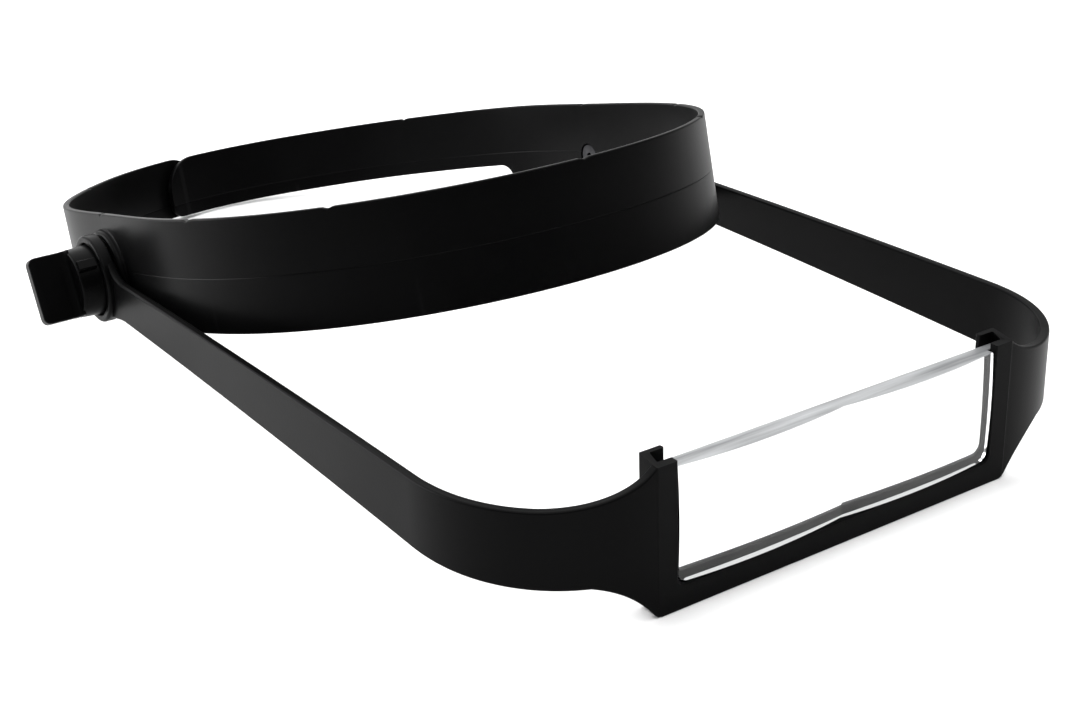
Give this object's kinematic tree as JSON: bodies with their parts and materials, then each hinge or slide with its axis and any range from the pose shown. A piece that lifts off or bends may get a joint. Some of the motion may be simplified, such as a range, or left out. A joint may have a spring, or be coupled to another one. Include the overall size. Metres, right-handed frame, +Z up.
{
  "type": "head visor magnifier",
  "caption": "Black moulded head band with two tilting side arms that carry a slotted frame and a clear two-lens magnifier plate, clamped by thumb knobs.",
  "frame": {"origin": "on the table it lies on, under the middle of its outline", "axes": "+Z up from the table, -Y the way the wearer looks, -X the wearer's right"},
  "size_m": [0.2032, 0.319, 0.064],
  "materials": {
    "black_plastic": "satin black, finely grained moulding",
    "knob_plastic": "satin black moulding",
    "foam": "dark grey fabric over soft foam",
    "hook_tape": "black hook and loop tape",
    "fibre": "brown pressed fibre",
    "acrylic": "clear polished acrylic",
    "steel": "plated steel",
    "black_steel": "blackened steel",
    "brass": "turned brass"
  },
  "bodies": {
    "head_band": {"head_band": "black_plastic", "forehead_pad": "foam", "hook_patch": "hook_tape", "loop_patch": "hook_tape", "pivot_bolt_right": "black_steel", "pivot_bolt_left": "black_steel", "friction_washer_right": "fibre", "friction_washer_left": "fibre", "flat_washer_right": "steel", "flat_washer_left": "steel", "spring_washer_right": "steel", "spring_washer_left": "steel"},
    "visor": {"visor_frame": "black_plastic"},
    "lens": {"lens_plate": "acrylic"},
    "knob_right": {"thumb_knob_right": "knob_plastic", "knob_insert_right": "brass"},
    "knob_left": {"thumb_knob_left": "knob_plastic", "knob_insert_left": "brass"}
  },
  "joints": [
    {"name": "visor_tilt", "type": "hinge", "parent": "head_band", "child": "visor", "pos_m": [0, 0.04344, 0.02548], "axis": [-1, 0, 0], "range_deg": [-25, 95]},
    {"name": "knob_right_turn", "type": "hinge", "parent": "head_band", "child": "knob_right", "pos_m": [-0.0885, 0.04344, 0.02548], "axis": [-1, 0, 0], "range_deg": [0, 360]},
    {"name": "knob_left_turn", "type": "hinge", "parent": "head_band", "child": "knob_left", "pos_m": [0.0885, 0.04344, 0.02548], "axis": [1, 0, 0], "range_deg": [0, 360]},
    {"name": "lens_slide", "type": "slide", "parent": "visor", "child": "lens", "axis": [0, -0.0362, 0.9993], "range_m": [0, 0.033]}
  ]
}
